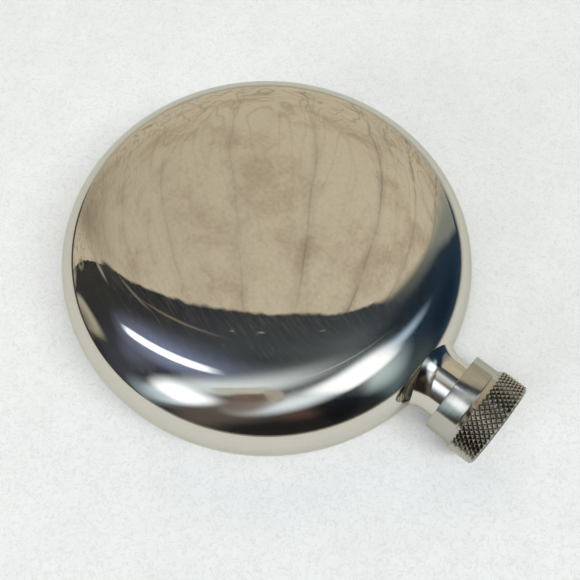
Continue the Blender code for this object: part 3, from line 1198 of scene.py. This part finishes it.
@dataclass
class Cap:
    """The cap: its turned and knurled shell, the threaded liner and the sealing disc."""

    form: CapForm = CapForm()
    columns: int = 552
    knurl_steps: int = 6
    liner_columns: int = 240
    liner_rows: int = 100
    seal_columns: int = 128
    steel: TurnedSteel = TurnedSteel()
    plastic: LinerPlastic = LinerPlastic()
    silicone: SealSilicone = SealSilicone()

    @property
    def edge_x(self) -> float:
        """Where the cap's open edge stands."""
        return self.form.neck.cap_edge_x

    @property
    def middle(self) -> float:
        """Height of the neck's axis."""
        return self.form.neck.body.middle

    def circle(self, columns: int) -> Array:
        """Even angles round the axis."""
        return np.linspace(0, 2 * math.pi, columns, endpoint=False)

    def turned(self, solid: Solid, profile: Array, angle: Array) -> Array:
        """Adds the points of a turned profile of (x, radius) and gives their indices."""
        return solid.add_points(turned_points(self.edge_x + profile[:, :1], profile[:, 1:], angle, self.middle))

    def close_end(self, solid: Solid, ring: Array, along: float) -> None:
        """Closes a ring of points with a fan round a pole on the axis."""
        pole = solid.add_points(np.array([[self.edge_x + along, 0.0, self.middle]]))
        solid.add_fan(ring, int(pole[0]), closed=True)

    def shell(self) -> bpy.types.Object:
        """The turned shell.

        Returns:
            Its closed surface: end face, chamfered knurled band, shoulder, plain sleeve and blind bore.
        """
        form = self.form
        angle = self.circle(self.columns)
        solid = Solid()
        end_rows = self.turned(solid, form.end_profile(), angle)
        spacing = form.knurl_half_pitch / self.knurl_steps
        first, last = math.ceil(form.knurl_start / spacing), math.floor(form.knurl_end / spacing)
        rows = np.arange(last, first - 1, -1)
        along = (rows * spacing)[:, None]
        band = solid.add_points(turned_points(self.edge_x + along, form.knurl_band(along, angle), angle,
                                              self.middle))
        rest = self.turned(solid, form.sleeve_profile(), angle)
        solid.add_grid(np.concatenate([end_rows, band[:1]]), closed=True)
        solid.add_split_grid(band, (rows[1:, None] // self.knurl_steps
                                    + np.arange(self.columns) // self.knurl_steps) % 2 == 0)
        solid.add_grid(np.concatenate([band[-1:], rest]), closed=True)
        self.close_end(solid, end_rows[0], form.length)
        self.close_end(solid, rest[-1, ::-1], form.bore_end)
        return finish_piece(solid.build("cap_shell_skin"), self.steel, "cap", "cap_shell")

    def liner(self) -> bpy.types.Object:
        """The liner.

        Returns:
            Its closed surface: a blind tube whose bore carries the female thread.
        """
        form = self.form
        thread = form.neck.thread
        angle = self.circle(self.liner_columns)
        outside = [
            (form.liner_end, form.pole_radius),
            (form.liner_end, form.liner_radius),
            (form.liner_recess, form.liner_radius),
            (form.liner_recess, form.liner_bore),
        ]
        along = np.linspace(form.liner_recess, form.liner_floor, self.liner_rows)[1:-1, None]
        start = form.neck.thread_start + math.pi
        ridge = thread.ridge(along, angle, form.neck.first_turn_x - self.edge_x, start)
        solid = Solid()
        rows = self.turned(solid, rounded(outside, form.moulded_ease), angle)
        bore = solid.add_points(turned_points(self.edge_x + along, form.liner_bore - ridge, angle, self.middle))
        floor_profile = np.array([(form.liner_floor, form.liner_bore), (form.liner_floor, form.pole_radius)])
        floor = self.turned(solid, floor_profile, angle)
        solid.add_grid(np.concatenate([rows, bore, floor]), closed=True)
        self.close_end(solid, rows[0], form.liner_end)
        self.close_end(solid, floor[-1, ::-1], form.liner_floor)
        return finish_piece(solid.build("cap_insert_skin"), self.plastic, "cap", "cap_insert")

    def seal(self) -> bpy.types.Object:
        """The sealing disc.

        Returns:
            Its closed surface, with eased edges.
        """
        form = self.form
        outline = [
            (form.seal_high, form.pole_radius),
            (form.seal_high, form.seal_radius),
            (form.seal_low, form.seal_radius),
            (form.seal_low, form.pole_radius),
        ]
        solid = Solid()
        rows = self.turned(solid, rounded(outline, form.moulded_ease), self.circle(self.seal_columns))
        solid.add_grid(rows, closed=True)
        self.close_end(solid, rows[0], form.seal_high)
        self.close_end(solid, rows[-1, ::-1], form.seal_low)
        return finish_piece(solid.build("cap_seal_skin"), self.silicone, "seal", "cap_seal")

    def build(self) -> list[bpy.types.Object]:
        """All three pieces of the cap."""
        return [self.shell(), self.liner(), self.seal()]


# ---- The studio


@dataclass(frozen=True)
class Tone:
    """A soft-edged ellipse of the surroundings.

    Attributes:
        place: its middle, a direction seen from the flask, laid flat about straight up: (x, y) / (1 + z).
        size: its half length and half width.
        turn: the direction of its length, in degrees.
        softness: how far its edge spreads, as a share of its size.
        color: how it shows in the polished steel.
        strength: how much of it shows in the middle.
        power: 2 for an ellipse, and more for a squarer form.
    """

    place: Pair
    size: Pair
    turn: float
    softness: float
    color: Color
    strength: float = 1.0
    power: float = 2.0

    def share(self, graph: Graph, flat: Value) -> Value:
        """How much of the tone shows at each place.

        Args:
            graph: the world's graph.
            flat: the flat place, with 1 in its third part.

        Returns:
            The strength inside, falling smoothly to 0 over the edge.
        """
        turn = math.radians(self.turn)
        cos, sin = math.cos(turn), math.sin(turn)
        (x, y), (half_long, half_wide) = self.place, self.size
        first = graph.dot(flat, (cos / half_long, sin / half_long, -(x * cos + y * sin) / half_long))
        second = graph.dot(flat, (-sin / half_wide, cos / half_wide, (x * sin - y * cos) / half_wide))
        if self.power == 2.0:
            away = graph.math("SQRT", first * first + second * second)
        else:
            parts = [graph.math("POWER", graph.math("ABSOLUTE", part), self.power) for part in (first, second)]
            away = graph.math("POWER", parts[0] + parts[1], 1 / self.power)
        return graph.smooth(away, 1 - self.softness, 1 + self.softness, self.strength, 0.0)


def room_tones() -> list[Tone]:
    """The tones of the darker side: broad walls first, then bright openings and the haze round them."""
    return [
        # Dark walls toward +X and +Y.
        Tone((0.55, 0.62), (0.80, 0.32), 57, 0.4, srgb(33, 50, 66)),
        Tone((0.42, 0.40), (0.20, 0.20), 24, 0.8, srgb(18, 30, 40), 0.85),
        Tone((0.72, 0.24), (0.30, 0.10), 5, 0.8, srgb(70, 76, 74), 0.8),
        # Brown and dark walls toward -Y.
        Tone((0.13, -0.52), (0.15, 0.50), 4, 0.7, srgb(88, 78, 70), 0.9),
        Tone((0.38, -0.25), (0.20, 0.07), -38, 0.7, srgb(84, 62, 50), 0.85),
        Tone((0.57, -0.48), (0.28, 0.42), -25, 0.4, srgb(31, 30, 28), 0.98),
        Tone((-0.30, -0.62), (0.16, 0.42), -8, 0.7, srgb(60, 61, 66), 0.9),
        # A dark strip below the boards, toward -X, and pale ground beyond it.
        Tone((-0.51, -0.237), (0.41, 0.10), 31, 0.7, srgb(46, 46, 42)),
        Tone((-0.66, -0.53), (0.28, 0.10), 28, 0.25, srgb(164, 157, 134), 0.95),
        Tone((-0.82, -0.42), (0.12, 0.035), 52, 0.6, srgb(150, 146, 126), 0.9),
        Tone((-0.74, -0.66), (0.25, 0.09), 38, 0.6, srgb(108, 96, 78), 0.85),
        # Greys near straight up.
        Tone((-0.04, 0.08), (0.16, 0.09), 50, 0.6, srgb(62, 66, 67), 0.85),
        Tone((-0.045, 0.075), (0.11, 0.018), 38, 0.8, srgb(44, 46, 49), 0.8),
        Tone((0.01, 0.03), (0.06, 0.05), 60, 0.8, srgb(108, 113, 106), 0.7),
        # Pale haze toward +X, and the dark below it.
        Tone((0.55, 0.09), (0.35, 0.07), -5, 0.8, srgb(105, 125, 126), 0.6),
        Tone((0.29, 0.08), (0.206, 0.08), -3, 0.9, srgb(179, 193, 190), 0.89),
        Tone((0.39, -0.095), (0.43, 0.09), -25, 0.41, srgb(12, 15, 18), 0.8),
        # Haze round the two bright openings, and then the openings.
        Tone((0.172, 0.19), (0.030, 0.075), -14, 0.95, srgb(168, 192, 204), 0.8),
        Tone((0.165, -0.088), (0.066, 0.175), -4, 0.96, srgb(215, 223, 223)),
        Tone((-0.065, -0.509), (0.072, 0.235), -17, 0.5, srgb(225, 233, 233), 0.95),
        Tone((-0.146, -0.715), (0.087, 0.222), -19, 0.97, srgb(148, 165, 169), 0.81),
        Tone((-0.022, -0.085), (0.045, 0.15), -18, 0.7, srgb(212, 220, 216), 0.9),
        Tone((0.18, 0.072), (0.08, 0.09), 5, 0.34, (1.02, 1.02, 1.0), 1.0, 4.0),
        Tone((-0.048, -0.345), (0.07, 0.125), -10, 0.6, (1.25, 1.28, 1.28), 1.0, 3.0),
        # Haze round a bright streak, and then the streak.
        Tone((-0.16, -0.09), (0.12, 0.06), 45, 0.8, srgb(132, 142, 170), 0.75),
        Tone((-0.215, -0.24), (0.05, 0.13), -12, 0.9, srgb(98, 102, 114), 0.6),
        Tone((-0.166, -0.082), (0.096, 0.017), 35, 0.3, (1.6, 1.6, 1.7), 0.95, 4.0),
        # Brown shapes with pale edges, and one dark one.
        Tone((0.09, -0.20), (0.055, 0.12), 14, 0.6, srgb(112, 97, 88), 0.85),
        Tone((0.003, -0.082), (0.066, 0.022), 68, 0.25, srgb(176, 172, 158), 0.9, 3.0),
        Tone((0.073, -0.068), (0.056, 0.018), -44, 0.25, srgb(158, 151, 135), 0.95, 3.0),
        Tone((0.048, -0.115), (0.035, 0.04), 0, 0.5, srgb(108, 86, 72), 0.85),
        Tone((0.10, 0.24), (0.13, 0.045), 66, 0.7, srgb(22, 32, 38), 0.8),
        # Thin streaks and specks.
        Tone((-0.175, 0.052), (0.040, 0.002), 26, 0.9, srgb(160, 142, 120), 0.45),
        Tone((-0.245, 0.020), (0.03, 0.003), 10, 0.9, srgb(150, 138, 118), 0.5),
        Tone((0.045, 0.088), (0.065, 0.003), 72, 0.9, srgb(190, 184, 168), 0.5),
        Tone((-0.102, 0.110), (0.003, 0.0012), 40, 0.9, srgb(190, 178, 156), 0.4),
        Tone((-0.124, 0.092), (0.002, 0.0012), 40, 0.9, srgb(170, 160, 140), 0.4),
        Tone((-0.053, 0.148), (0.003, 0.0012), 40, 0.9, srgb(150, 146, 134), 0.4),
    ]


def board_tones() -> list[Tone]:
    """The shading of the boarded side."""
    return [
        Tone((-0.05, 0.85), (0.20, 0.30), 0, 0.8, srgb(160, 152, 130), 0.5),
        Tone((-0.75, 0.02), (0.40, 0.14), 15, 0.9, srgb(138, 127, 105), 0.75),
        Tone((-0.58, -0.03), (0.20, 0.05), 12, 0.9, srgb(116, 103, 84), 0.6),
        Tone((-0.35, 0.35), (0.30, 0.20), 40, 0.9, srgb(178, 166, 140), 0.6),
    ]


def edge_tones() -> list[Tone]:
    """Small things that stand in front of the ends of the boards."""
    return [
        Tone((-0.61, -0.215), (0.060, 0.022), 30, 0.5, srgb(132, 125, 98), 0.9),
        Tone((-0.60, -0.210), (0.030, 0.009), 30, 0.6, srgb(52, 52, 46), 0.9),
        Tone((-0.372, -0.058), (0.040, 0.007), 8, 0.6, srgb(150, 132, 114), 0.9),
        Tone((-0.315, -0.014), (0.050, 0.013), 25, 0.4, srgb(52, 52, 50)),
        Tone((0.298, 0.817), (0.19, 0.045), -20, 0.4, srgb(38, 52, 70)),
    ]


def laid(graph: Graph, flat: Value, under: Any, tones: list[Tone]) -> Any:
    """Tones laid one over another.

    Args:
        graph: the world's graph.
        flat: the flat place, with 1 in its third part.
        under: the colour under them all.
        tones: the tones, the lowest first.

    Returns:
        The colour of all.
    """
    for tone in tones:
        under = graph.mix(tone.share(graph, flat), under, lit(tone.color))
    return under


@dataclass(frozen=True)
class Boards:
    """The pale boarded side of the surroundings.

    Its edge is two straight lines joined by a curve, sharp on the left and soft on the right. Its seams run to one
    point near straight up, and distances count from there.

    Attributes:
        left, right: the two lines, as factors of the flat place's three parts. Each is positive on the boards.
        join: how far the curve between them reaches.
        ragged, waver: scale and size of the unevenness of the edge, and of the seams in boards.
        centre: the point that the seams run to.
        seam_from, seam_every: the direction of one seam and the angle to the next, in degrees.
        least_far: the distance within which the seams keep their width in degrees.
        seam_line, seam_shade: ramps of a seam's line and of the shade beside it, by how far it is.
        patch_scale, patches: scale and ramp of the patches in which the seams are fainter.
        left_fade, far_gain: ramps by which the seams fade to the left and grow with the distance.
        ring_place: how fast the rings' noise changes across a board, along it and from board to board.
        ring_count: how many rings the whole range of that noise makes.
        ring_line, ring_gain: ramps of a ring's line, by how far it is, and of its strength, by the distance.
        speck_scale, speck: scale and ramp of the fine specks in the wood.
        cloud_scale, cloud, cloud_share: scale and range of its broad clouds, and how much of their colour shows.
        side_fade: the distances between which the right side goes from its first colour to its second.
        side_line, side_least: the factors by which that side widens, and its least width.
        soft_from: how the edge goes from sharp to soft, by how much nearer the right line is.
        soft_shift: ramp of how far the soft edge is moved out, by the distance.
        edge_widths: half width of the sharp edge, and what the soft one has more.
    """

    color: Color = srgb(190, 178, 153)
    side_colors: tuple[Color, Color] = (srgb(84, 87, 77), srgb(118, 121, 111))
    grain_color: Color = srgb(112, 98, 74)
    cloud_color: Color = srgb(144, 126, 101)
    seam_color: Color = srgb(66, 46, 32)
    left: Triple = (-0.5635, 0.8261, -0.173)
    right: Triple = (-0.9336, 0.3584, -0.070)
    join: float = 0.10
    ragged: Pair = (26.0, 0.016)
    waver: Pair = (14.0, 0.16)
    centre: Pair = (0.047, -0.062)
    seam_from: float = 100.75
    seam_every: float = 11.25
    least_far: float = 0.1
    seam_line: Ramp = (0.0, 0.009, 0.30, 0.0)
    seam_shade: Ramp = (0.0, 0.05, 0.22, 0.0)
    patch_scale: float = 13.0
    patches: Ramp = (0.38, 0.62, 0.3, 1.0)
    left_fade: Ramp = (-0.30, -0.10, 0.4, 1.0)
    far_gain: Ramp = (0.35, 0.70, 1.0, 1.7)
    ring_place: Triple = (1.1, 1.6, 7.3)
    ring_count: float = 15.0
    ring_line: Ramp = (0.0, 0.16, 0.42, 0.0)
    ring_gain: Ramp = (0.30, 0.75, 0.12, 1.0)
    speck_scale: float = 240.0
    speck: Ramp = (0.40, 0.70, 0.0, 0.16)
    cloud_scale: float = 11.0
    cloud: Pair = (0.44, 0.68)
    cloud_share: float = 0.55
    side_fade: Pair = (0.28, 0.50)
    side_line: Triple = (0.0, 0.45, -0.1575)
    side_least: float = 0.03
    soft_from: Pair = (-0.02, 0.03)
    soft_shift: Ramp = (0.42, 0.65, 0.02, 0.05)
    edge_widths: Pair = (0.0025, 0.0225)

    def from_centre(self, graph: Graph, flat: Value) -> tuple[Value, Value, Value]:
        """The place, counted from the point where the seams meet.

        Args:
            graph: the world's graph.
            flat: the flat place, with 1 in its third part.

        Returns:
            How far across and along it lies, and its distance.
        """
        x, y = self.centre
        across = graph.dot(flat, (1.0, 0.0, -x))
        along = graph.dot(flat, (0.0, 1.0, -y))
        return across, along, graph.math("SQRT", across * across + along * along)

    def seams_and_grain(self, graph: Graph, flat: Value) -> tuple[Value, Value]:
        """The shares of the seams' colour and of the grain's.

        Args:
            graph: the world's graph.
            flat: the flat place, with 1 in its third part.

        Returns:
            Both shares. A seam lies at each whole number of boards, counted by the angle, and the grain is the lines
            at which a noise of its own in each board, times the count of rings, passes a whole number and a half.
        """
        across, along, far = self.from_centre(graph, flat)
        scale, size = self.waver
        waver = (graph.noise(flat, scale) - 0.5) * size
        angle = graph.math("ARCTAN2", along, across) * math.degrees(1)
        board = (angle - self.seam_from) / self.seam_every + waver
        width = graph.math("MAXIMUM", far, self.least_far)
        off = graph.math("ABSOLUTE", graph.math("FRACT", board + 0.5) - 0.5) * width
        fading = graph.smooth(graph.noise(flat, self.patch_scale, 3.0), *self.patches)
        fading = fading * graph.smooth(across, *self.left_fade) * graph.smooth(far, *self.far_gain)
        seam = (graph.smooth(off, *self.seam_line) + graph.smooth(off, *self.seam_shade)) * fading

        parts = (board, far, graph.math("FLOOR", board + 0.5))
        place = graph.node("ShaderNodeCombineXYZ", {}, {
            part: value * rate for part, (value, rate) in enumerate(zip(parts, self.ring_place))})
        rings = graph.noise(place, 1.0, 2.0, 0.45, 0.5) * self.ring_count
        ring = graph.math("ABSOLUTE", graph.math("FRACT", rings) - 0.5)
        return seam, graph.smooth(ring, *self.ring_line) * graph.smooth(far, *self.ring_gain)

    def wood(self, graph: Graph, flat: Value) -> Value:
        """The colour of the wood.

        Args:
            graph: the world's graph.
            flat: the flat place, with 1 in its third part.

        Returns:
            Its tones, over which lie clouds and specks, then grain and then seams.
        """
        seam, grain = self.seams_and_grain(graph, flat)
        speck = graph.smooth(graph.noise(flat, self.speck_scale), *self.speck)
        cloud = graph.smooth(graph.noise(flat, self.cloud_scale, 6.0, 0.72), *self.cloud) * self.cloud_share + speck
        tone = laid(graph, flat, lit(self.color), board_tones())
        for share, color in ((cloud, self.cloud_color), (grain, self.grain_color), (seam, self.seam_color)):
            tone = graph.mix(share, tone, lit(color))
        return tone

    def laid_over(self, graph: Graph, flat: Value, below: Value) -> Value:
        """The boards, laid over the darker side of the surroundings.

        Args:
            graph: the world's graph.
            flat: the flat place, with 1 in its third part.
            below: the colour of the darker side.

        Returns:
            The colour of both.
        """
        left, right = graph.dot(flat, self.left), graph.dot(flat, self.right)
        scale, size = self.ragged
        edge = graph.math("SMOOTH_MIN", left, right, self.join) + (graph.noise(flat, scale, 4.0, 0.7) - 0.5) * size
        far = self.from_centre(graph, flat)[2]
        low, high = (lit(color) for color in self.side_colors)
        side = graph.mix(graph.smooth(far, *self.side_fade), low, high)
        rise = graph.math("MAXIMUM", graph.dot(flat, self.side_line), 0.0) + self.side_least
        tone = graph.mix(graph.smooth(right / rise, 0.0, 1.0, 1.0, 0.0), self.wood(graph, flat), side)
        soft = graph.smooth(left - right, *self.soft_from)
        sharp_width, more = self.edge_widths
        shift = soft * graph.smooth(far, *self.soft_shift)
        return graph.mix(graph.smooth((edge + shift) / (soft * more + sharp_width), -1.0, 1.0), below, tone)


@dataclass(frozen=True)
class Lamp:
    """A soft lamp that lights the floor as the bright openings do together, but shows in no reflection.

    Attributes:
        name: the lamp's name.
        place: its direction, laid flat as a tone's place is.
        turn: the direction of its long side there, in degrees.
        size: its two sides at its distance.
        share: how much of the floor's light it gives.
    """

    name: str
    place: Pair
    turn: float
    size: Pair
    share: float
    distance: float = 2.5

    def build(self) -> None:
        """The lamp, turned to the flask, with the power that gives its share of the light on the floor."""
        across, along = self.place
        squared = across ** 2 + along ** 2
        toward = Vector((2 * across, 2 * along, 1 - squared)) / (1 + squared)
        turn = math.radians(self.turn)
        side = Vector((math.cos(turn), math.sin(turn), 0.0))
        side = (side - toward * side.dot(toward)).normalized()
        data = bpy.data.lights.new(self.name, "AREA")
        data.shape = "RECTANGLE"
        data.size, data.size_y = self.size
        data.energy = self.share * (math.pi * self.distance) ** 2 / toward.z
        made = bpy.data.objects.new(self.name, data)
        columns = [(*side, 0.0), (*toward.cross(side), 0.0), (*toward, 0.0), (*(toward * self.distance), 1.0)]
        made.matrix_world = Matrix(columns).transposed()
        made.visible_camera = False
        made.visible_glossy = False
        bpy.context.scene.collection.objects.link(made)


@dataclass
class Studio:
    """The floor, the surroundings, the lamps and the camera.

    Attributes:
        lowest_ray: the least height that a direction is counted with, so that straight down isn't divided by 0.
        horizon: how far out the horizon's colours set in. At 1 lies the horizon itself.
        horizon_toward: the way along which these colours change, from -horizon_spread to horizon_spread.
        line: how far out the dark line along the horizon sets in, and line_share how much of it shows.
        line_toward: the way in which it lies, and line_ends where it sets in along that way.
        backdrop: brightness of what the camera sees directly beyond the floor.
        camera_place: the camera's place, fitted to the photographed outline with its three directions.
    """

    floor_half: float = 3.0
    floor_drop: float = 0.00004
    floor_finish: FloorPaint = FloorPaint()
    wall_color: Color = srgb(38, 39, 41)
    boards: Boards = Boards()
    lowest_ray: float = -0.5
    horizon_colors: tuple[Color, Color] = (srgb(160, 157, 140), srgb(132, 130, 114))
    horizon: Pair = (0.90, 0.98)
    horizon_toward: Triple = (0.7071, -0.7071, 0.0)
    horizon_spread: float = 0.7
    line_color: Color = srgb(40, 39, 34)
    line: Pair = (0.905, 0.930)
    line_toward: Triple = (-0.788, -0.616, 0.0)
    line_ends: Pair = (0.70, 0.80)
    line_share: float = 0.9
    backdrop: float = 0.87
    lamps: tuple[Lamp, ...] = (Lamp("lamp_long", (0.220, -0.095), 34.8, (3.10, 0.45), 0.64),
                               Lamp("lamp_low", (-0.19, -0.667), 46.0, (1.27, 0.86), 0.08))
    camera_place: Triple = (0.05569, -0.06602, 0.17916)
    camera_right: Triple = (0.77154666, 0.63569816, 0.02456835)
    camera_up: Triple = (-0.58524586, 0.69411314, 0.41915895)
    camera_back: Triple = (0.24940536, -0.33777922, 0.90758039)
    focal_pixels: float = 800.02
    picture_pixels: float = 580.0
    sensor: float = 36.0
    clip: Pair = (0.005, 20.0)

    def floor(self) -> None:
        """The pale floor, just under the flask."""
        half = self.floor_half
        corners = [(x, y, -self.floor_drop) for x, y in ((-half, -half), (half, -half), (half, half), (-half, half))]
        mesh = bpy.data.meshes.new("floor")
        mesh.from_pydata(corners, [], [(0, 1, 2, 3)])
        made = bpy.data.objects.new("floor", mesh)
        mesh.materials.append(self.floor_finish.material())
        bpy.context.scene.collection.objects.link(made)

    def surroundings(self) -> None:
        """The world: the room that the steel mirrors, which also gives a part of the light, and a pale backdrop.

        The room is laid in this order: the wall, its tones, the boards, what stands before them, the horizon and the
        dark line along it.
        """
        world = bpy.data.worlds.new("surroundings")
        world.use_nodes = True
        bpy.context.scene.world = world
        graph = Graph(world.node_tree)
        ray = graph.node("ShaderNodeTexCoord", output="Generated")
        parts = graph.node("ShaderNodeSeparateXYZ", {}, {0: ray})
        outputs = parts.socket.node.outputs
        rise = graph.math("MAXIMUM", Value(graph, outputs[2]), self.lowest_ray) + 1.0
        across = Value(graph, outputs[0]) / rise
        along = Value(graph, outputs[1]) / rise
        flat = graph.node("ShaderNodeCombineXYZ", {}, {0: across, 1: along, 2: 1.0})

        shade = laid(graph, flat, lit(self.wall_color), room_tones())
        shade = self.boards.laid_over(graph, flat, shade)
        shade = laid(graph, flat, shade, edge_tones())
        low = graph.math("SQRT", across * across + along * along)
        near, far = (lit(color) for color in self.horizon_colors)
        turned = graph.dot(flat, self.horizon_toward)
        horizon = graph.mix(graph.smooth(turned, -self.horizon_spread, self.horizon_spread), near, far)
        shade = graph.mix(graph.smooth(low, *self.horizon), shade, horizon)
        line = graph.smooth(low, *self.line) * graph.smooth(graph.dot(flat, self.line_toward), *self.line_ends)
        shade = graph.mix(line * self.line_share, shade, lit(self.line_color))

        seen = graph.node("ShaderNodeLightPath", output="Is Camera Ray")
        color = graph.mix(seen, shade, (self.backdrop,) * 3)
        shader = graph.node("ShaderNodeBackground", {}, {"Color": color, "Strength": 1.0})
        graph.node_output("ShaderNodeOutputWorld", shader)

    def camera(self) -> None:
        """The camera at the photograph's place, angle and focal length."""
        data = bpy.data.cameras.new("camera")
        data.sensor_width = self.sensor
        data.lens = self.focal_pixels / self.picture_pixels * self.sensor
        data.clip_start, data.clip_end = self.clip
        made = bpy.data.objects.new("camera", data)
        columns = [(*self.camera_right, 0.0), (*self.camera_up, 0.0), (*self.camera_back, 0.0),
                   (*self.camera_place, 1.0)]
        made.matrix_world = Matrix(columns).transposed()
        bpy.context.scene.collection.objects.link(made)
        bpy.context.scene.camera = made

    def build(self) -> None:
        """Sets up the studio."""
        bpy.context.scene.view_settings.view_transform = "Standard"
        self.camera()
        self.surroundings()
        self.floor()
        for lamp in self.lamps:
            lamp.build()
        log.info("studio: floor, surroundings, %d lamps and camera are set", len(self.lamps))


def main() -> None:
    """Builds the studio and every piece of the flask."""
    logging.basicConfig(level=logging.INFO, format="%(name)s: %(message)s")
    Studio().build()
    pieces = [*Body().build(), Neck().build(), *Cap().build()]


if __name__ == "__main__":
    main()
